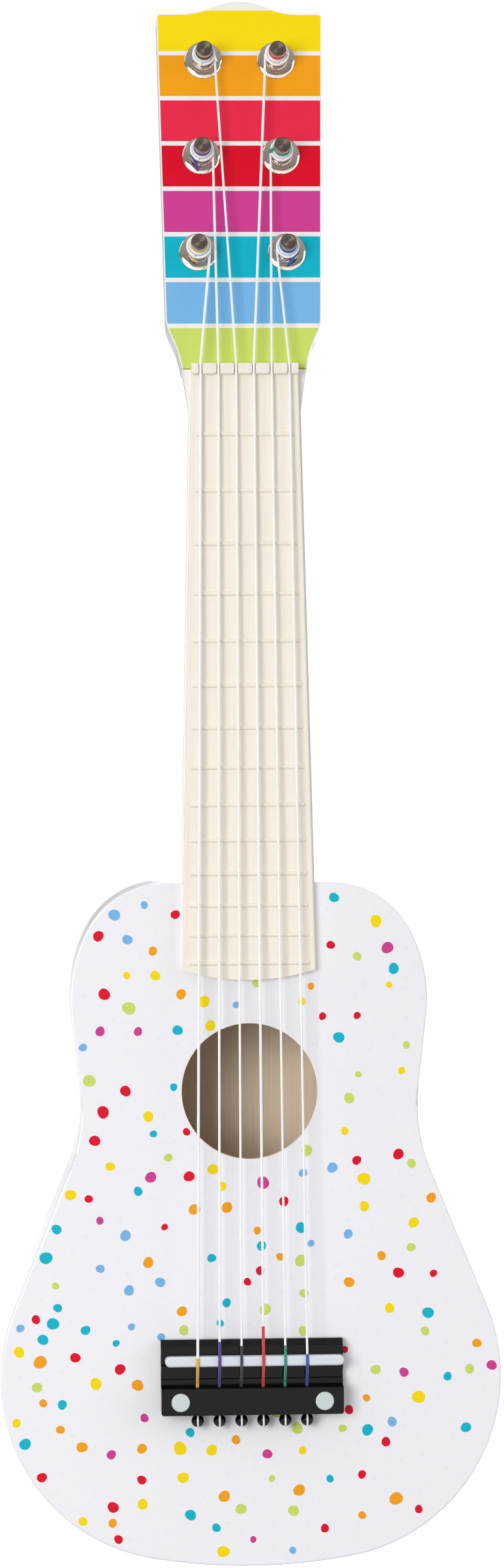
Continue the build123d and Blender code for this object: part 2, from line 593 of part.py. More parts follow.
for number, place in enumerate(PEG_PLACES, start=1):
    wire = STRING_DIAMETERS[number - 1]
    winding_top = WINDING_LOW + WINDING_TURNS * wire

    with BuildPart() as post:
        with BuildSketch(peg_section(place)):
            with BuildLine():
                Polyline(POST_PROFILE, close=True)
            make_face()
        revolve(axis=peg_axis(place))
        cross_plane = peg_plane(place, winding_top + 0.9)
        with BuildSketch(Plane(cross_plane.origin, x_dir=cross_plane.y_dir, z_dir=cross_plane.x_dir)):
            Circle(POST_CROSS_HOLE / 2)
        extrude(amount=POST_DIAMETER, both=True, mode=Mode.SUBTRACT)
        with BuildSketch(peg_plane(place, TANG_END)):
            Circle(KNOB_SCREW_DIAMETER / 2)
        extrude(amount=KNOB_SCREW_GRIP, mode=Mode.SUBTRACT)
    finish(post, f"peg_post_{number}")

    # The string's turns lie side by side on the waist of the post.
    with BuildPart() as winding:
        with BuildSketch(peg_section(place)):
            with Locations((POST_WAIST_DIAMETER / 2 + wire / 4, (WINDING_LOW + winding_top) / 2)):
                Rectangle(wire / 2, winding_top - WINDING_LOW)
            for turn in range(WINDING_TURNS):
                with Locations((POST_WAIST_DIAMETER / 2 + wire / 2, WINDING_LOW + (turn + 0.5) * wire)):
                    Circle(wire / 2)
        revolve(axis=peg_axis(place))
    finish(winding, f"string_winding_{number}")

    with BuildPart() as knob:
        with BuildSketch(peg_plane(place, KNOB_FRONT)):
            Circle(KNOB_COLLAR_DIAMETER / 2)
        extrude(amount=-KNOB_COLLAR_LENGTH, taper=6)
        wing_front = KNOB_FRONT - KNOB_COLLAR_LENGTH + 1.5
        with BuildSketch(peg_plane(place, wing_front)):
            SlotOverall(KNOB_WING_LENGTH, KNOB_WING_WIDTH, rotation=KNOB_TURNS[number - 1])
        extrude(amount=KNOB_END - wing_front)
        fillet(knob.faces().sort_by(peg_axis(place))[0].edges(), 1.6)
        for bore, start, end in (
            (POST_TANG_DIAMETER, KNOB_FRONT, TANG_END),
            (KNOB_SCREW_DIAMETER, KNOB_FRONT, KNOB_END),
            (KNOB_SCREW_HEAD, KNOB_END + KNOB_SCREW_SEAT, KNOB_END),
        ):
            with BuildSketch(peg_plane(place, start)):
                Circle(bore / 2)
            extrude(amount=end - start, mode=Mode.SUBTRACT)
    finish(knob, f"peg_knob_{number}")

    with BuildPart() as knob_screw:
        seat = KNOB_END + KNOB_SCREW_SEAT
        with BuildSketch(peg_plane(place, seat)):
            Circle(KNOB_SCREW_HEAD / 2)
        extrude(amount=-KNOB_SCREW_SEAT + 0.2)
        with BuildSketch(peg_plane(place, seat)):
            Circle(KNOB_SCREW_DIAMETER / 2)
        extrude(amount=KNOB_FLOOR + KNOB_SCREW_GRIP - 1)
        with BuildSketch(peg_plane(place, KNOB_END + 0.2)):
            Rectangle(KNOB_SCREW_HEAD + 1, 0.7, rotation=KNOB_TURNS[-number])
        extrude(amount=0.5, mode=Mode.SUBTRACT)
    finish(knob_screw, f"knob_screw_{number}")

# ---------------------------------------------------------------- strings
def winding_tangent(number, start):
    """Where a string that comes from start meets the inner side of its winding."""
    across, up = PEG_PLACES[number - 1]
    wire = STRING_DIAMETERS[number - 1]
    reach = POST_WAIST_DIAMETER / 2 + 1.5 * wire + STRING_CLEARANCE
    near = HEAD_PLANE.to_local_coords(start)
    run = hypot(across - near.X, up - near.Y)
    toward = atan2(up - near.Y, across - near.X)
    toward += asin(reach / run) if across > 0 else -asin(reach / run)
    length = (run**2 - reach**2) ** 0.5
    rise = WINDING_LOW + wire / 2
    return HEAD_PLANE.from_local_coords((near.X + length * cos(toward), near.Y + length * sin(toward), rise))


for number, wire in enumerate(STRING_DIAMETERS, start=1):
    bridge_x = string_x(number, STRING_SPACING_SADDLE)
    nut_x = string_x(number, STRING_SPACING_NUT)
    nut_corner = Vector(nut_x, -NUT_SLOT_FLOOR - wire / 2 - NUT_CLEARANCE, NUT_LENGTH + NUT_CORNER_OFFSET)
    saddle_rear = SADDLE_FRONT - SADDLE_WIDTH
    saddle_rise = SADDLE_TOP + wire / 2 + SADDLE_CLEARANCE
    saddle_corner = Vector(bridge_x, -saddle_rise, saddle_rear + SADDLE_CORNER_OFFSET)
    clamp_corner = Vector(bridge_x, -STRING_HOLE_HEIGHT, CLAMP_FRONT + CLAMP_CORNER_OFFSET)
    knot = Vector(bridge_x, -STRING_HOLE_HEIGHT, BRIDGE_REAR - BEAD_DIAMETER * KNOT_DEPTH)
    with BuildPart() as string:
        with BuildLine() as route:
            FilletPolyline(
                winding_tangent(number, nut_corner),
                nut_corner,
                saddle_corner,
                clamp_corner,
                knot,
                radius=STRING_BEND_RADII,
            )
        with BuildSketch(Plane(route.line @ 0, z_dir=route.line % 0)):
            Circle(wire / 2)
        sweep(path=route.line)
    finish(string, f"string_{number}")
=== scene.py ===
import json
import math
import random

import bmesh
import bpy
from mathutils import Matrix, Vector
from mathutils.bvhtree import BVHTree


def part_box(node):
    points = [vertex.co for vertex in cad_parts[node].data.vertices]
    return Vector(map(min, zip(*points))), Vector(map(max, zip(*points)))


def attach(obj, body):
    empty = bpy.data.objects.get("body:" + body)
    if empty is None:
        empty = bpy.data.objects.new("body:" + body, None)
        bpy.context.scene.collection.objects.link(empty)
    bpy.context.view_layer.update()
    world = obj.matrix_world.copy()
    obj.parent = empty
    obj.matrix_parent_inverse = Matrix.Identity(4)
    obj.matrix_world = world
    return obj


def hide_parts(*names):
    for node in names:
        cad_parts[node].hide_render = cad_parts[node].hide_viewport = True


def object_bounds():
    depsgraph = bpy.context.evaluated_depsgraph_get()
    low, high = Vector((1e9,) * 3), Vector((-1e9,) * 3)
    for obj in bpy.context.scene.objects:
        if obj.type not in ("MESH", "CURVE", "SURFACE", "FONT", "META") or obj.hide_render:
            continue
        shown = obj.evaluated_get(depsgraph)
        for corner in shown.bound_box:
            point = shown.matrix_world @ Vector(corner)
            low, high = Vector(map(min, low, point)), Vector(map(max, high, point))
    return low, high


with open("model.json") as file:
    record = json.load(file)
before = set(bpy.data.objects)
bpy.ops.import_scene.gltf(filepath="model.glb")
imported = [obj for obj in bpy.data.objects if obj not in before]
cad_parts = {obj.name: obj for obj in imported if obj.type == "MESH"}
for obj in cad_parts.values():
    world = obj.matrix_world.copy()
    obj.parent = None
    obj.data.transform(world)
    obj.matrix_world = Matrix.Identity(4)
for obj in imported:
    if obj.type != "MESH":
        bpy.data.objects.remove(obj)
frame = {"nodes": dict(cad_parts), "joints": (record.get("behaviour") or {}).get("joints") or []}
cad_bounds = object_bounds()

MM = 0.001

# The guitar's own sizes, in millimetres, as the CAD model has them.
HEAD_START = 2.0
SOUND_HOLE_Z = -242.4
SOUND_HOLE_RADIUS = 23.0
BOARD_THICKNESS = 2.6
SIDE_BACK = 45.6
CLAMP_FRONT = -341.6
POST_WAIST_RADIUS = 2.4
POST_RISE = 12.0
WINDING_LOW = 4.1
WINDING_TURNS = 4
STRING_SPACING_SADDLE = 7.4

# Each string: thickness, the colour of its silk ends, where the silk starts before the bridge's
# rear block, the side of its post that its cut end leaves from, the angle that this end swings
# round the post, the radius and length of its fall, and whether it still wears silk. An end in
# silk is tucked under the winding, but for the second string's.
STRINGS = {
    1: (0.80, "blue", -330.5, 1, 130, 4.5, 5.0, True),
    2: (0.80, "teal", -327.5, -1, 20, 2.0, 2.6, True),
    3: (0.90, "red", -321.0, 1, 30, 3.0, 1.5, False),
    4: (0.80, "black", -327.5, 1, 60, 3.0, 2.6, False),
    5: (0.85, "purple", -326.0, -1, 115, 4.5, 6.0, True),
    6: (0.95, "yellow", -331.5, -1, 130, 4.5, 3.0, True),
}
TUCKED = (1, 5, 6)


# ---------------------------------------------------------------- materials
def linear(hex_colour):
    """An sRGB hex colour as linear red, green, blue and alpha."""
    parts = [int(hex_colour[i : i + 2], 16) / 255 for i in (1, 3, 5)]
    levels = [v / 12.92 if v <= 0.04045 else ((v + 0.055) / 1.055) ** 2.4 for v in parts]
    return (*levels, 1.0)


def add_node(material, kind, settings=None, inputs=None):
    """Adds a node with its settings and inputs.

    An input is a plain value, or a node and the name or number of the output that feeds it.
    """
    node = material.node_tree.nodes.new(kind)
    for name, value in (settings or {}).items():
        setattr(node, name, value)
    for socket, source in (inputs or {}).items():
        if isinstance(source, tuple) and isinstance(source[0], bpy.types.Node):
            material.node_tree.links.new(source[0].outputs[source[1]], node.inputs[socket])
        else:
            node.inputs[socket].default_value = source
    return node


def feed(material, node, output, socket):
    """Links an output to a socket of the material's shader."""
    shader = material.node_tree.nodes["Principled BSDF"]
    material.node_tree.links.new(node.outputs[output], shader.inputs[socket])


# Most of a noise texture's values lie between these.
SPOTS_LOW = 0.3
SPOTS_HIGH = 0.7


def surface(name, shades, spot, relief, gloss, shader=None, stretch=(1, 1, 1)):
    """A material whose colour, gloss and relief vary together in soft spots.

    shades are its darkest and lightest colours, and gloss its lowest and highest roughness. spot
    is the size of a spot and relief its height, in millimetres. stretch makes the spots longer
    along an axis.
    """
    material = bpy.data.materials.new(name)
    material.use_nodes = True
    for socket, value in (shader or {}).items():
        material.node_tree.nodes["Principled BSDF"].inputs[socket].default_value = value
    place = add_node(material, "ShaderNodeTexCoord")
    scale = [1 / (spot * MM * longer) for longer in stretch]
    fit = add_node(
        material, "ShaderNodeMapping", None, {"Vector": (place, "Object"), "Scale": scale}
    )
    spots = add_node(
        material,
        "ShaderNodeTexNoise",
        None,
        {"Vector": (fit, 0), "Scale": 1.0, "Detail": 4.0, "Roughness": 0.6},
    )
    shade = add_node(
        material,
        "ShaderNodeMix",
        {"data_type": "RGBA", "name": "shade"},
        {0: (spots, 0), 6: linear(shades[0]), 7: linear(shades[1])},
    )
    rough = add_node(
        material,
        "ShaderNodeMapRange",
        {"name": "rough"},
        {
            "Value": (spots, 0),
            "From Min": SPOTS_LOW,
            "From Max": SPOTS_HIGH,
            "To Min": gloss[0],
            "To Max": gloss[1],
        },
    )
    bump = add_node(
        material, "ShaderNodeBump", None, {"Height": (spots, 0), "Distance": relief * MM}
    )
    feed(material, shade, 2, "Base Color")
    feed(material, rough, "Result", "Roughness")
    feed(material, bump, "Normal", "Normal")
    return material


GRAIN_WIDTH = 0.9  # mm
GRAIN_LENGTH = 70.0
WOOD_SHADES = ("#F4D8B8", "#FFF0DC")
WOOD_ROUGHNESS = 0.78
MASK_SLACK = 0.1  # mm between a face and the level that tells it from its neighbours


def show_wood(material, mask):
    """Lets raw wood show through a lacquer where mask is 1, its grain running up the body."""
    nodes = material.node_tree.nodes
    place = add_node(material, "ShaderNodeTexCoord")
    scale = (1 / (GRAIN_WIDTH * MM), 1 / (GRAIN_WIDTH * MM), 1 / (GRAIN_LENGTH * MM))
    fit = add_node(
        material, "ShaderNodeMapping", None, {"Vector": (place, "Object"), "Scale": scale}
    )
    grain = add_node(
        material, "ShaderNodeTexNoise", None, {"Vector": (fit, 0), "Scale": 1.0, "Detail": 3.0}
    )
    wood = add_node(
        material,
        "ShaderNodeMix",
        {"data_type": "RGBA"},
        {0: (grain, 0), 6: linear(WOOD_SHADES[0]), 7: linear(WOOD_SHADES[1])},
    )
    both = add_node(
        material,
        "ShaderNodeMix",
        {"data_type": "RGBA"},
        {0: (mask, 0), 6: (nodes["shade"], 2), 7: (wood, 2)},
    )
    rough = add_node(
        material,
        "ShaderNodeMix",
        {"data_type": "FLOAT"},
        {0: (mask, 0), 2: (nodes["rough"], 0), 3: WOOD_ROUGHNESS},
    )
    feed(material, both, 2, "Base Color")
    feed(material, rough, 0, "Roughness")


def white_lacquer(name):
    """Sprayed gloss lacquer on plywood: a cool white with faint orange peel."""
    return surface(
        name,
        ("#EDECF2", "#F2F1F6"),
        spot=2.5,
        relief=0.006,
        gloss=(0.26, 0.36),
        shader={"Coat Weight": 0.2, "Coat Roughness": 0.12},
    )


def soundboard_lacquer():
    """White lacquer whose sound hole shows the raw ply at its cut edge, as does the underside."""
    material = white_lacquer("white_lacquer_sprayed_soundboard")
    place = add_node(material, "ShaderNodeTexCoord")
    flat = add_node(
        material,
        "ShaderNodeVectorMath",
        {"operation": "MULTIPLY"},
        {0: (place, "Object"), 1: (1.0, 0.0, 1.0)},
    )
    centre = (0.0, 0.0, SOUND_HOLE_Z * MM)
    away = add_node(
        material, "ShaderNodeVectorMath", {"operation": "DISTANCE"}, {0: (flat, 0), 1: centre}
    )
    parts = add_node(material, "ShaderNodeSeparateXYZ", None, {0: (place, "Object")})
    in_hole = add_node(
        material,
        "ShaderNodeMath",
        {"operation": "LESS_THAN"},
        {0: (away, "Value"), 1: (SOUND_HOLE_RADIUS + MASK_SLACK) * MM},
    )
    underside = add_node(
        material,
        "ShaderNodeMath",
        {"operation": "GREATER_THAN"},
        {0: (parts, "Y"), 1: (BOARD_THICKNESS - MASK_SLACK) * MM},
    )
    mask = add_node(
        material, "ShaderNodeMath", {"operation": "MAXIMUM"}, {0: (in_hole, 0), 1: (underside, 0)}
    )
    show_wood(material, mask)
    return material


def back_lacquer():
    """White lacquer outside and raw wood on the face that shows through the sound hole."""
    material = white_lacquer("white_lacquer_sprayed_back")
    place = add_node(material, "ShaderNodeTexCoord")
    parts = add_node(material, "ShaderNodeSeparateXYZ", None, {0: (place, "Object")})
    inside = add_node(
        material,
        "ShaderNodeMath",
        {"operation": "LESS_THAN"},
        {0: (parts, "Y"), 1: (SIDE_BACK + MASK_SLACK) * MM},
    )
    show_wood(material, inside)
    return material


BODY_MIDDLE_Z = -290.0  # the sides face away from the body's axis at this height


def side_lacquer():
    """White lacquer outside the bent sides and raw wood on their inner faces."""
    material = white_lacquer("white_lacquer_sprayed_sides")
    place = add_node(material, "ShaderNodeTexCoord")
    middle = (0.0, 0.0, BODY_MIDDLE_Z * MM)
    spoke = add_node(
        material,
        "ShaderNodeVectorMath",
        {"operation": "SUBTRACT"},
        {0: (place, "Object"), 1: middle},
    )
    facing = add_node(material, "ShaderNodeNewGeometry")
    outward = add_node(
        material,
        "ShaderNodeVectorMath",
        {"operation": "DOT_PRODUCT"},
        {0: (spoke, 0), 1: (facing, "True Normal")},
    )
    inner = add_node(
        material, "ShaderNodeMath", {"operation": "LESS_THAN"}, {0: (outward, "Value"), 1: 0.0}
    )
    show_wood(material, inner)
    return material


def printed_ink(name, colour, deep):
    """Screen-printed ink under the clear coat: even, with the slightest mottle."""
    return surface(
        name,
        (deep, colour),
        spot=0.7,
        relief=0.004,
        gloss=(0.30, 0.42),
        shader={"Specular IOR Level": 0.15, "Coat Weight": 0.04, "Coat Roughness": 0.12},
    )


def silk_thread(name, colour, deep):
    """Dyed silk wound in close turns, drawn further apart than the real ones so that they show."""
    material = surface(
        name, (deep, colour), spot=0.3, relief=0.01, gloss=(0.5, 0.7), shader={"Sheen Weight": 0.4}
    )
    thread_pitch = 0.35
    thread_relief = 0.05
    # A wave texture repeats 20 times in 2 pi of its own units.
    wave_scale = 2 * math.pi / 20 / (thread_pitch * MM)
    place = add_node(material, "ShaderNodeTexCoord")
    turns = add_node(
        material,
        "ShaderNodeTexWave",
        {"wave_type": "BANDS", "bands_direction": "Z"},
        {"Vector": (place, "Object"), "Scale": wave_scale, "Distortion": 0.6},
    )
    ribs = add_node(
        material, "ShaderNodeBump", None, {"Height": (turns, 1), "Distance": thread_relief * MM}
    )
    feed(material, ribs, "Normal", "Normal")
    return material


def turned_end():
    """The post's lathe-turned end face: fine rings in dark nickel with a grey-brown cast."""
    material = surface(
        "nickel_plated_steel_turned_end",
        ("#4A423C", "#6E655C"),
        spot=0.6,
        relief=0.004,
        gloss=(0.28, 0.42),
        shader={"Metallic": 1.0},
    )
    ring_pitch = 0.45
    ring_relief = 0.03
    radius = add_node(material, "ShaderNodeAttribute", {"attribute_name": "turning_radius"})
    phase = add_node(
        material,
        "ShaderNodeMath",
        {"operation": "MULTIPLY"},
        {0: (radius, "Fac"), 1: 2 * math.pi / (ring_pitch * MM)},
    )
    rings = add_node(material, "ShaderNodeMath", {"operation": "SINE"}, {0: (phase, 0)})
    bump = add_node(
        material, "ShaderNodeBump", None, {"Height": (rings, 0), "Distance": ring_relief * MM}
    )
    feed(material, bump, "Normal", "Normal")
    return material


INKS = {
    "lime": ("#CDE06C", "#C6D964"),
    "light_blue": ("#7CBAEA", "#70B2E4"),
    "turquoise": ("#08B9D0", "#00AFC6"),
    "magenta": ("#D44096", "#C83A8C"),
    "red": ("#E3002A", "#D80022"),
    "coral": ("#EC2A4A", "#E22344"),
    "orange": ("#F8A614", "#F09C0E"),
    "yellow": ("#FBDF00", "#F4D600"),
}
SILKS = {
    "yellow": ("#F2C04A", "#D9A22F"),
    "purple": ("#5B33A0", "#43237C"),
    "black": ("#26272B", "#141518"),
    "red": ("#E8302F", "#C32223"),
    "teal": ("#0E9E80", "#087C64"),
    "blue": ("#2450B4", "#173A8C"),
}

ink = {n: printed_ink(f"screen_printed_ink_{n}", *shades) for n, shades in INKS.items()}
silk = {n: silk_thread(f"wound_silk_thread_{n}", *shades) for n, shades in SILKS.items()}

# Planed basswood: pale, dull, with long straight grain.
raw_wood = surface(
    "basswood_planed",
    WOOD_SHADES,
    spot=GRAIN_WIDTH,
    relief=0.02,
    gloss=(0.7, 0.85),
    stretch=(1, 1, GRAIN_LENGTH / GRAIN_WIDTH),
)
# Brushed-on cream lacquer over maple: a warmer white, faintly streaked along the neck.
neck_lacquer = surface(
    "cream_white_lacquer_on_maple",
    ("#EEEBE8", "#F5F3F0"),
    spot=3.0,
    relief=0.012,
    gloss=(0.28, 0.4),
    shader={"Coat Weight": 0.3, "Coat Roughness": 0.14},
    stretch=(1, 1, 8),
)
# Injection-moulded cream ABS: flow streaks along the board and a fine matte grain.
cream_abs = surface(
    "cream_abs_moulded",
    ("#ECE4D4", "#F4EDE0"),
    spot=1.6,
    relief=0.015,
    gloss=(0.38, 0.52),
    shader={"IOR": 1.53},
    stretch=(1, 1, 14),
)
# Injection-moulded black ABS from a polished tool: a deep gloss with slight ripples.
black_abs = surface(
    "black_abs_polished_mould",
    ("#050506", "#0C0C0E"),
    spot=5.0,
    relief=0.02,
    gloss=(0.09, 0.17),
    shader={"IOR": 1.53, "Specular IOR Level": 0.12, "Coat Weight": 0.04, "Coat Roughness": 0.06},
)
# Cut and polished white plastic rod, as for a saddle.
saddle_plastic = surface(
    "white_acetal_cut_rod", ("#D2DAE3", "#E2E7ED"), 1.2, 0.01, (0.28, 0.4), {"IOR": 1.48}, (6, 1, 1)
)
# Pale grey moulded caps with a satin face.
cap_plastic = surface(
    "pale_grey_abs_moulded", ("#C0CBCB", "#D0DADA"), 1.0, 0.01, (0.35, 0.5), {"IOR": 1.53}
)
# Extruded clear nylon: milky white where it lies against anything.
nylon = surface(
    "clear_nylon_extruded",
    ("#EDEFF1", "#FAFBFC"),
    spot=0.8,
    relief=0.004,
    gloss=(0.2, 0.32),
    shader={"IOR": 1.53, "Subsurface Weight": 0.15, "Subsurface Scale": 0.5 * MM},
    stretch=(1, 1, 10),
)
# Stamped and chromed steel: mirror bright with a breath of haze.
chrome = surface(
    "chrome_plated_steel", ("#B3A89D", "#D3CAC0"), 2.0, 0.0003, (0.04, 0.1), {"Metallic": 1.0}
)
# Turned steel with dull nickel plate.
post_nickel = surface(
    "nickel_plated_steel_turned", ("#A8A39C", "#C4BFB8"), 0.5, 0.006, (0.2, 0.36), {"Metallic": 1.0}
)
# Zinc-plated screws, slightly blotched.
screw_zinc = surface(
    "zinc_plated_steel", ("#8F9296", "#B9BCC0"), 0.8, 0.006, (0.28, 0.45), {"Metallic": 1.0}
)
# Moulded cream knobs with a satin grain for the fingers.
knob_abs = surface(
    "cream_abs_moulded_satin", ("#ECE6DA", "#F6F1E8"), 0.6, 0.02, (0.42, 0.58), {"IOR": 1.53}
)


# ---------------------------------------------------------------- making pieces
SHARP_ANGLE = 40  # degrees; a steeper edge than this stays crisp
TOUCHING = 0.001  # mm between corners that are one corner
FLATNESS = 0.02  # mm that a corner of a flat face may lie off it


def dress(material, *nodes):
    """Gives CAD nodes their finish."""
    for name in nodes:
        mesh = frame["nodes"][name].data
        mesh.materials.clear()
        mesh.materials.append(material)


def add_piece(name, bm, material, body="root", smooth=True):
    """Turns a bmesh into a piece that rides on a body."""
    bmesh.ops.recalc_face_normals(bm, faces=bm.faces)
    mesh = bpy.data.meshes.new(name)
    bm.to_mesh(mesh)
    bm.free()
    mesh.materials.append(material)
    if smooth:
        mesh.shade_smooth()
        mesh.set_sharp_from_angle(angle=math.radians(SHARP_ANGLE))
    piece = bpy.data.objects.new(name, mesh)
    bpy.context.scene.collection.objects.link(piece)
    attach(piece, body)
    return piece


def copy_of(node):
    """A CAD node's mesh as one joined surface."""
    bm = bmesh.new()
    bm.from_mesh(frame["nodes"][node].data)
    bmesh.ops.remove_doubles(bm, verts=bm.verts, dist=TOUCHING * MM)
    return bm


def cut(bm, point, direction):
    """Cuts away what lies beyond a point, in a direction."""
    geometry = bm.verts[:] + bm.edges[:] + bm.faces[:]
    bmesh.ops.bisect_plane(bm, geom=geometry, plane_co=point, plane_no=direction, clear_outer=True)


# ---------------------------------------------------------------- confetti on the soundboard
CONFETTI_COUNT = 175
# How often each ink comes up, against the others.
CONFETTI_SHARES = {
    "red": 6,
    "lime": 5,
    "orange": 4,
    "turquoise": 4,
    "yellow": 4,
    "light_blue": 3,
    "magenta": 2,
}
DOT_RADII = (1.0, 2.3, 1.5)  # smallest, largest and usual, in mm
DOT_GAP = 2.0
DOT_EDGE = 0.8  # from a dot to the edge of the board or of the sound hole
DOT_CORNERS = 20
DOT_OVAL = 0.06  # shares of a dot's radius that its outline swells and dips by
DOT_LOBE = 0.03
FAR_APART = 100
RIM_PROBES = 12  # places round a dot's rim where the board is felt for
INK_PROUD = 0.05
INK_SUNK = 0.03
TRIES = 5  # places thrown for each dot, of which the loneliest is kept
PLAIN_PATCH = (40.0, 68.0, -381.0, -364.0)  # x and z of a stretch with no dots, low on the right


def confetti():
    """Blobs of ink thrown over the board at random, with room left between them."""
    chance = random.Random(21)
    board = copy_of("soundboard")
    surface_tree = BVHTree.FromBMesh(board)
    board.free()
    low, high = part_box("soundboard")
    covers = [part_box("bridge"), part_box("fretboard")]

    def on_board(x, z, reach):
        for step in range(RIM_PROBES):
            turn = step * math.tau / RIM_PROBES
            start = Vector((x + reach * math.cos(turn), -50, z + reach * math.sin(turn))) * MM
            hit = surface_tree.ray_cast(start, Vector((0, 1, 0)))[0]
            if hit is None or hit.y > FLATNESS * MM:
                return False
        return True

    def hidden(x, z):
        for first, last in covers:
            if first.x < x * MM < last.x and first.z < z * MM < last.z:
                return True
        left, right, bottom, top = PLAIN_PATCH
        return left < x < right and bottom < z < top

    dots = []
    while len(dots) < CONFETTI_COUNT:
        radius = chance.triangular(*DOT_RADII)
        best, best_room = None, DOT_GAP
        for _ in range(TRIES):
            x = chance.uniform(low.x, high.x) / MM
            z = chance.uniform(low.z, high.z) / MM
            if hidden(x, z) or not on_board(x, z, radius + DOT_EDGE):
                continue
            gaps = (math.hypot(x - d[0], z - d[1]) - d[2] - radius for d in dots)
            room = min(gaps, default=FAR_APART)
            if room > best_room:
                best, best_room = (x, z, radius), room
        if best:
            dots.append(best)

    names = list(CONFETTI_SHARES)
    colours = chance.choices(names, [CONFETTI_SHARES[n] for n in names], k=len(dots))
    sheets = {name: bmesh.new() for name in names}
    for (x, z, radius), colour in zip(dots, colours):
        bm = sheets[colour]
        place = Matrix.Translation(Vector((x, -INK_PROUD, z)) * MM)
        dot = bmesh.ops.create_circle(
            bm, cap_ends=True, segments=DOT_CORNERS, radius=radius * MM, matrix=Matrix.Identity(4)
        )
        oval, lobe = chance.uniform(0, math.tau), chance.uniform(0, math.tau)
        for v in dot["verts"]:
            turn = math.atan2(v.co.y, v.co.x)
            v.co *= 1 + DOT_OVAL * math.sin(2 * turn + oval) + DOT_LOBE * math.sin(3 * turn + lobe)
        lie = place @ Matrix.Rotation(math.pi / 2, 4, "X")
        bmesh.ops.transform(bm, matrix=lie, verts=dot["verts"])
    for name, bm in sheets.items():
        bmesh.ops.recalc_face_normals(bm, faces=bm.faces)
        flat = bm.faces[:]
        for face in flat:
            if face.normal.y > 0:
                face.normal_flip()
        bmesh.ops.solidify(bm, geom=flat, thickness=(INK_PROUD + INK_SUNK) * MM)
        add_piece(f"confetti_{name}", bm, ink[name], smooth=False)


# ---------------------------------------------------------------- pegs and the headstock
def peg_frame(joint):
    """A peg's own axes: across, up the headstock, and out of its front, from its joint."""
    place = Vector(joint["pos_m"])
    out = Vector(joint["axis"]) * (-1 if place.x > 0 else 1)
    across = Vector((1, 0, 0))
    turn = Matrix((across, out.cross(across), out)).transposed().to_4x4()
    return Matrix.Translation(place) @ turn @ Matrix.Scale(MM, 4)


PEGS = {int(j["name"].split("_")[1]): peg_frame(j) for j in frame["joints"]}

BAND_ORDER = ["lime", "light_blue", "turquoise", "magenta", "red", "coral", "orange", "yellow"]
BAND_PITCH = 16.15
BAND_HEIGHT = 14.55
BAND_INSET = 0.45


def outline_face(sheet):
    """One face on the outer outline of a flat sheet, without the sheet's holes."""
    rim = {}
    for edge in sheet.edges:
        if edge.is_boundary:
            for v in edge.verts:
                rim.setdefault(v, []).append(edge.other_vert(v))
    loop = [max(rim, key=lambda v: v.co.x)]
    onward = rim[loop[0]][0]
    while onward is not loop[0]:
        loop.append(onward)
        onward = next(v for v in rim[onward] if v is not loop[-2])
    bm = bmesh.new()
    bm.faces.new([bm.verts.new(v.co) for v in loop])
    bm.normal_update()
    return bm


def headstock_bands():
    """Eight printed bands across the headstock's face, cut to its outline just inside the edge."""
    axes = PEGS[1].to_3x3().normalized()
    up, out = axes.col[1], axes.col[2]
    start = Vector((0, 0, HEAD_START * MM))
    neck = copy_of("neck")
    cut(neck, start, -up)
    off_front = [
        face
        for face in neck.faces
        if any(abs((v.co - start).dot(out)) > FLATNESS * MM for v in face.verts)
    ]
    bmesh.ops.delete(neck, geom=off_front, context="FACES")
    face = outline_face(neck)
    neck.free()
    rim = bmesh.ops.inset_region(
        face,
        faces=face.faces[:],
        thickness=BAND_INSET * MM,
        use_boundary=True,
        use_even_offset=True,
    )
    bmesh.ops.delete(face, geom=rim["faces"], context="FACES")
    bmesh.ops.translate(face, verts=face.verts, vec=out * INK_PROUD * MM)
    for number, name in enumerate(BAND_ORDER):
        bm = face.copy()
        low = number * BAND_PITCH
        cut(bm, start + up * low * MM, -up)
        cut(bm, start + up * (low + BAND_HEIGHT) * MM, up)
        for f in bm.faces:
            if f.normal.dot(out) < 0:
                f.normal_flip()
        bmesh.ops.solidify(bm, geom=bm.faces[:], thickness=(INK_PROUD + INK_SUNK) * MM)
        add_piece(f"head_band_{name}", bm, ink[name], smooth=False)
    face.free()


SECTION_CORNERS = 12
TURN_STEPS = 28
LEAD_IN_STEPS = 10


def wound_wire(bm, wire, low, turns, start, direction, layer=0, lead=0.0):
    """A wire wound on a post's waist from a height up, each turn lying on the last.

    layer counts the layers of wire under it. The first part of the first turn leads in from lead
    millimetres further out.
    """
    first = len(bm.verts)
    before = set(bm.edges)
    middle = POST_WAIST_RADIUS + wire * (layer + 0.5)
    stand = Matrix.Rotation(start, 4, "Z") @ Matrix.Translation((middle, 0, low + wire / 2))
    ring = bmesh.ops.create_circle(
        bm,
        segments=SECTION_CORNERS,
        radius=wire / 2,
        matrix=stand @ Matrix.Rotation(math.pi / 2, 4, "X"),
    )
    bmesh.ops.spin(
        bm,
        geom=ring["verts"] + [e for e in bm.edges if e not in before],
        cent=(0, 0, 0),
        axis=(0, 0, 1),
        dvec=(0, 0, wire / TURN_STEPS),
        angle=direction * turns * math.tau,
        steps=round(turns * TURN_STEPS),
    )
    bm.verts.ensure_lookup_table()
    for step in range(LEAD_IN_STEPS if lead else 0):
        turn = start + direction * step * math.tau / TURN_STEPS
        shift = lead * (1 - step / LEAD_IN_STEPS) ** 2
        for v in bm.verts[first + step * SECTION_CORNERS : first + (step + 1) * SECTION_CORNERS]:
            v.co += Vector((math.cos(turn), math.sin(turn), 0)) * shift
    bmesh.ops.holes_fill(bm, edges=[e for e in bm.edges if e not in before], sides=0)


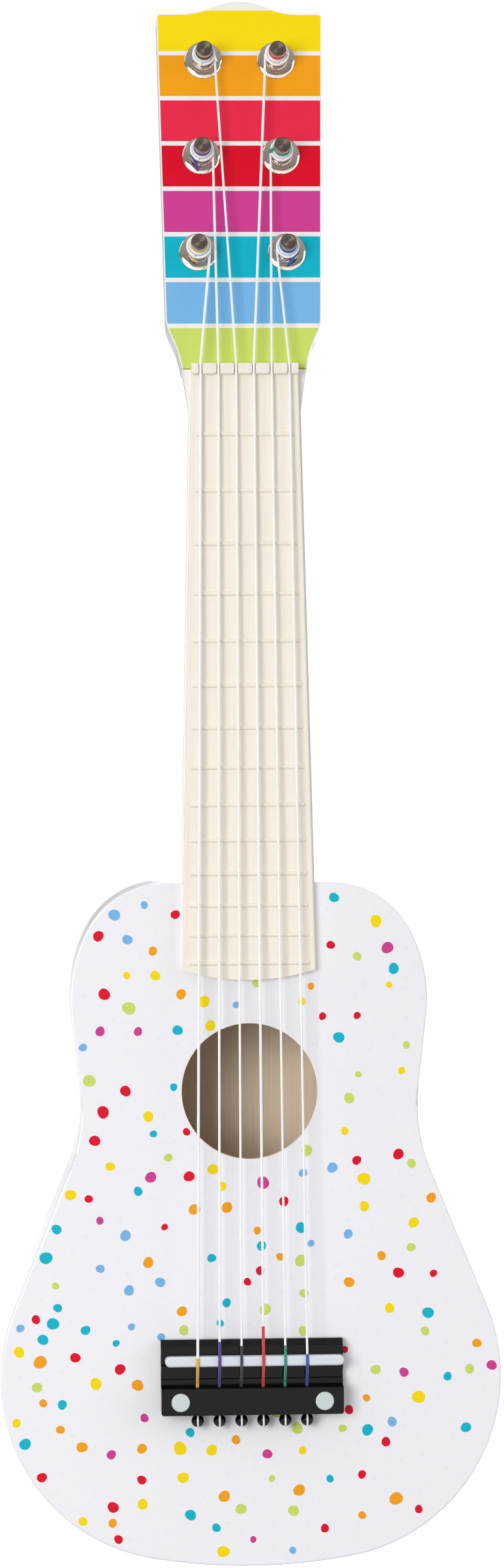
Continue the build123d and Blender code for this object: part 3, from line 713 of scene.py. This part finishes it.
def string_end(number):
    """The middle of a string's end face at its peg, in the peg's own axes."""
    mesh = frame["nodes"][f"string_{number}"].data
    corners = sorted((v.co for v in mesh.vertices), key=lambda corner: corner.z)
    top = corners[-SECTION_CORNERS:]
    return PEGS[number].inverted() @ (sum(top, Vector()) / len(top))


SILK_TURNS = 2.4
SILK_WIRE = 0.62
OUTER_TURNS = 1.7
OUTER_START = 1.35  # turns that the outer layer leaves free below it for the taut string
TUCK = 2.4  # turns from the winding's foot to where an end in silk comes out of it
HOLE_RISE = 0.9  # from the top of the winding to the post's cross hole
TAIL_SEAT = 2.0  # from the post's axis to where the tail starts to bend, inside the post
TAIL_BEND = 1.4
TAIL_STEPS = 9
SILK_TAIL_RADIUS = 0.5
NYLON_TAIL_SHARE = 0.45  # a bare tail's radius as a share of its string's thickness
FUZZ = 0.13


def string_tail(number):
    """A string's cut end: away from the post, round it and down, fuzzy where it wears silk."""
    wire, colour, _, side, swing, fall_radius, fall, in_silk = STRINGS[number]
    rise = WINDING_LOW + (TUCK * wire if number in TUCKED else WINDING_TURNS * wire + HOLE_RISE)
    chance = random.Random(number)
    bm = bmesh.new()
    seat = Matrix.Translation((side * TAIL_SEAT, 0, rise)) @ Matrix.Rotation(math.pi / 2, 4, "Y")
    radius = SILK_TAIL_RADIUS if in_silk else wire * NYLON_TAIL_SHARE
    section = bmesh.ops.create_circle(bm, segments=SECTION_CORNERS, radius=radius, matrix=seat)
    swung = Matrix.Rotation(-side * math.radians(swing), 3, "Z")
    middle = Vector((side * TAIL_SEAT, -TAIL_BEND, rise))
    bend = bmesh.ops.spin(
        bm,
        geom=section["verts"] + bm.edges[:],
        cent=middle,
        axis=(0, 0, 1),
        angle=-side * math.radians(swing),
        steps=TAIL_STEPS,
    )
    heading = swung @ Vector((side, 0, 0))
    corner = middle + swung @ Vector((0, TAIL_BEND, 0))
    bmesh.ops.spin(
        bm,
        geom=bend["geom_last"],
        cent=corner - Vector((0, 0, fall_radius)),
        axis=Vector((0, 0, 1)).cross(heading),
        angle=fall / fall_radius,
        steps=TAIL_STEPS * 2,
    )
    bmesh.ops.holes_fill(bm, edges=bm.edges, sides=0)
    if in_silk:
        for v in bm.verts:
            v.co += Vector([chance.uniform(-FUZZ, FUZZ) for _ in range(3)])
    bmesh.ops.transform(bm, matrix=PEGS[number], verts=bm.verts)
    finish = silk[colour] if in_silk else nylon
    add_piece(f"string_tail_{number}", bm, finish, f"peg_{number}")


def peg_string(number):
    """What is wound on a post: the string's two layers and its silk above them."""
    wire, colour = STRINGS[number][:2]
    body = f"peg_{number}"
    end = string_end(number)
    start = math.atan2(end.y, end.x)
    direction = -1 if PEGS[number].translation.x > 0 else 1
    lead = math.hypot(end.x, end.y) - POST_WAIST_RADIUS - wire / 2
    coil = bmesh.new()
    wound_wire(coil, wire, WINDING_LOW, WINDING_TURNS, start, direction, lead=lead)
    wound_wire(coil, wire, WINDING_LOW + OUTER_START * wire, OUTER_TURNS, start, direction, layer=1)
    bmesh.ops.transform(coil, matrix=PEGS[number], verts=coil.verts)
    piece = add_piece(f"string_coil_{number}", coil, nylon, body)
    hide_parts(f"string_winding_{number}")

    wrap = bmesh.new()
    top = WINDING_LOW + (WINDING_TURNS + 1) * wire
    wound_wire(wrap, SILK_WIRE, top, SILK_TURNS, start, direction)
    bmesh.ops.transform(wrap, matrix=PEGS[number], verts=wrap.verts)
    add_piece(f"silk_wrap_{number}", wrap, silk[colour], body)


LATHE_STEPS = 56


def turned(profile, closed=True):
    """A profile of radius and rise, turned about a peg's axis."""
    bm = bmesh.new()
    points = [bm.verts.new((radius, 0, rise)) for radius, rise in profile]
    pairs = list(zip(points, points[1:])) + ([(points[-1], points[0])] if closed else [])
    edges = [bm.edges.new(pair) for pair in pairs]
    bmesh.ops.spin(
        bm,
        geom=points + edges,
        cent=(0, 0, 0),
        axis=(0, 0, 1),
        angle=math.tau,
        steps=LATHE_STEPS,
        use_merge=True,
    )
    bmesh.ops.remove_doubles(bm, verts=bm.verts, dist=TOUCHING)
    return bm


CAP_PROFILE = [  # radius and rise: a shallow dish inside a rolled rim, over the post's chamfer
    (0.0, 0.02),
    (0.7, 0.02),
    (1.4, 0.03),
    (2.0, 0.05),
    (2.3, 0.14),
    (2.5, 0.17),
    (2.7, 0.1),
    (2.77, -0.02),
    (2.77, -0.26),
    (0.0, -0.26),
]


def post_end(number):
    """The dished and turned end of a post."""
    bm = turned([(radius, POST_RISE + rise) for radius, rise in CAP_PROFILE], closed=False)
    radii = [v.co.xy.length * MM for v in bm.verts]
    bmesh.ops.transform(bm, matrix=PEGS[number], verts=bm.verts)
    piece = add_piece(f"post_end_{number}", bm, turned_face, f"peg_{number}")
    radius_values = piece.data.attributes.new("turning_radius", "FLOAT", "POINT")
    radius_values.data.foreach_set("value", radii)


FERRULE_BORE = 2.85
FERRULE_RADIUS = 6.6
FERRULE_HEIGHT = 1.7
HUB_RADIUS = 3.9
HUB_FOOT = 1.2
DOME_FOOT = 0.25
DOME_STEPS = 9
HUB_PROFILE = [(3.75, 1.55), (3.6, FERRULE_HEIGHT), (2.95, FERRULE_HEIGHT), (FERRULE_BORE, 1.6)]


def ferrule_domes():
    """The six stamped domes round the posts: a rolled foot, an oval dome and a short hub."""
    profile = [(FERRULE_BORE, 0), (FERRULE_RADIUS, 0)]
    for step in range(DOME_STEPS + 1):
        turn = step * math.pi / 2 / DOME_STEPS
        radius = HUB_RADIUS + (FERRULE_RADIUS - HUB_RADIUS) * math.cos(turn)
        profile.append((radius, DOME_FOOT + (HUB_FOOT - DOME_FOOT) * math.sin(turn)))
    profile += HUB_PROFILE
    domes = bmesh.new()
    for number in STRINGS:
        one = turned(profile)
        bmesh.ops.transform(one, matrix=PEGS[number], verts=one.verts)
        mesh = bpy.data.meshes.new("dome")
        one.to_mesh(mesh)
        one.free()
        domes.from_mesh(mesh)
        bpy.data.meshes.remove(mesh)
    piece = add_piece("ferrule_domes", domes, chrome)
    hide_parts("ferrules")


# ---------------------------------------------------------------- the bridge end of the strings
SILK_THICKNESS = 0.09
SILK_DEPTH = 1  # into the bridge's rear block
LOOP_RADIUS = 2.3
LOOP_WIRE_RADIUS = 0.32
LOOP_CORNERS = 8
LOOP_STEPS = 28
MIDDLE_STRING = 3.5  # the strings' middle, between the third and the fourth


def bridge_silk(number):
    """The silk sleeve that a string wears from before the saddle into the bridge's rear block."""
    colour, silk_top = STRINGS[number][1:3]
    bm = copy_of(f"string_{number}")
    cut(bm, (0, 0, silk_top * MM), (0, 0, 1))
    cut(bm, (0, 0, (CLAMP_FRONT - SILK_DEPTH) * MM), (0, 0, -1))
    bmesh.ops.holes_fill(bm, edges=bm.edges, sides=0)
    bmesh.ops.recalc_face_normals(bm, faces=bm.faces)
    bm.normal_update()
    for v in bm.verts:
        v.co += v.normal * SILK_THICKNESS * MM
    add_piece(f"bridge_silk_{number}", bm, silk[colour])


def bead_loops():
    """The loop of string that goes over the front of each bead."""
    low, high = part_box("string_beads")
    middle = (low + high) / 2 / MM
    bm = bmesh.new()
    for number in STRINGS:
        x = (MIDDLE_STRING - number) * STRING_SPACING_SADDLE
        place = Matrix.Translation((x, middle.y - LOOP_RADIUS, middle.z))
        before = set(bm.edges)
        ring = bmesh.ops.create_circle(
            bm, segments=LOOP_CORNERS, radius=LOOP_WIRE_RADIUS, matrix=place
        )
        bmesh.ops.spin(
            bm,
            geom=ring["verts"] + [e for e in bm.edges if e not in before],
            cent=(x, middle.y, middle.z),
            axis=(1, 0, 0),
            angle=math.tau,
            steps=LOOP_STEPS,
            use_merge=True,
        )
    bmesh.ops.scale(bm, vec=(MM, MM, MM), verts=bm.verts)
    add_piece("bead_loops", bm, nylon)


# ---------------------------------------------------------------- putting it together
turned_face = turned_end()
dress(soundboard_lacquer(), "soundboard")
dress(back_lacquer(), "back_board")
dress(side_lacquer(), "left_side", "right_side")
dress(raw_wood, "top_lining", "back_lining", "neck_block", "tail_block")
dress(raw_wood, "top_braces", "back_braces", "bridge_plate")
dress(neck_lacquer, "neck")
dress(cream_abs, "fretboard")
dress(black_abs, "bridge", "string_beads")
dress(saddle_plastic, "saddle")
dress(cap_plastic, "screw_caps")
dress(chrome, "ferrules", "rear_bushes")
dress(screw_zinc, "neck_screws", "bridge_screws")
for n in STRINGS:
    dress(nylon, f"string_{n}", f"string_winding_{n}")
    dress(post_nickel, f"peg_post_{n}")
    dress(knob_abs, f"peg_knob_{n}")
    dress(screw_zinc, f"knob_screw_{n}")

confetti()
headstock_bands()
for n in STRINGS:
    peg_string(n)
    string_tail(n)
    post_end(n)
    bridge_silk(n)
bead_loops()
ferrule_domes()


# ---------------------------------------------------------------- studio
MIDDLE = Vector((0, 0, -0.1384))  # of the guitar's front, in metres
FLOOR_GAP = 0.06
FLOOR_RADIUS = 40.0
FLOOR_CORNERS = 64
FLOOR_GLOW = 0.7


def studio_floor():
    """A wide pale floor below the guitar, which glows a little so that it has no far edge."""
    bm = bmesh.new()
    level = Matrix.Translation((0, 0, cad_bounds[0][2] - FLOOR_GAP))
    bmesh.ops.create_circle(
        bm, cap_ends=True, segments=FLOOR_CORNERS, radius=FLOOR_RADIUS, matrix=level
    )
    mesh = bpy.data.meshes.new("floor")
    bm.to_mesh(mesh)
    bm.free()
    mesh.materials.append(
        surface(
            "matte_white_floor_paint",
            ("#F4F4F2", "#FAFAF9"),
            spot=40.0,
            relief=0.05,
            gloss=(0.85, 0.95),
            shader={"Emission Color": linear("#FFFFFF"), "Emission Strength": FLOOR_GLOW},
        )
    )
    floor = bpy.data.objects.new("floor", mesh)
    floor.visible_diffuse = False
    bpy.context.scene.collection.objects.link(floor)


def soft_light(name, place, size, power):
    """A square softbox that faces the middle of the guitar."""
    lamp = bpy.data.lights.new(name, "AREA")
    lamp.size = size
    lamp.energy = power
    light = bpy.data.objects.new(name, lamp)
    light.location = place
    light.rotation_euler = (MIDDLE - Vector(place)).to_track_quat("-Z", "Y").to_euler()
    bpy.context.scene.collection.objects.link(light)


SKY_LOW = 0.3
SKY_HIGH = 0.7
SKY_SEEN = 1.05


def studio_sky():
    """Even white surroundings, which light the guitar less than they show, and more from above."""
    world = bpy.data.worlds.new("studio")
    world.use_nodes = True
    tree = world.node_tree
    glow = tree.nodes["Background"]
    glow.inputs["Color"].default_value = (1, 1, 1, 1)
    ray = tree.nodes.new("ShaderNodeTexCoord")
    parts = tree.nodes.new("ShaderNodeSeparateXYZ")
    rise = tree.nodes.new("ShaderNodeMapRange")
    rise.inputs["To Min"].default_value = SKY_LOW
    rise.inputs["To Max"].default_value = SKY_HIGH
    seen = tree.nodes.new("ShaderNodeLightPath")
    strength = tree.nodes.new("ShaderNodeMapRange")
    strength.inputs["To Max"].default_value = SKY_SEEN
    tree.links.new(ray.outputs["Generated"], parts.inputs[0])
    tree.links.new(parts.outputs["Z"], rise.inputs["Value"])
    tree.links.new(rise.outputs["Result"], strength.inputs["To Min"])
    tree.links.new(seen.outputs["Is Camera Ray"], strength.inputs["Value"])
    tree.links.new(strength.outputs["Result"], glow.inputs["Strength"])
    bpy.context.scene.world = world


CAMERA_PLACE = (-0.064, -1.4, -0.138)
CAMERA_AIM = (0.0016, 0, MIDDLE.z)
CAMERA_ROLL = -0.41  # degrees
CAMERA_LENS = 95.0
SENSOR_HEIGHT = 36.0


def camera():
    """A long lens a little left of the guitar's middle, rolled slightly."""
    lens = bpy.data.cameras.new("camera")
    lens.sensor_fit = "VERTICAL"
    lens.sensor_height = SENSOR_HEIGHT
    lens.lens = CAMERA_LENS
    holder = bpy.data.objects.new("camera", lens)
    holder.location = CAMERA_PLACE
    aim = (Vector(CAMERA_AIM) - holder.location).to_track_quat("-Z", "Y").to_matrix()
    roll = Matrix.Rotation(math.radians(CAMERA_ROLL), 3, "Z")
    holder.rotation_euler = (aim @ roll).to_euler()
    bpy.context.scene.collection.objects.link(holder)
    bpy.context.scene.camera = holder


studio_floor()
studio_sky()
soft_light("key_left", (-0.98, -1.95, 0.0), 1.0, 28.5)
soft_light("fill_right", (1.9, -1.0, 0.3), 1.4, 11)
soft_light("behind", (0.6, 1.8, 0.8), 1.4, 26)
soft_light("top_left", (-1.5, 0.1, 1.1), 1.2, 7)
camera()
bpy.context.scene.view_settings.view_transform = "Standard"
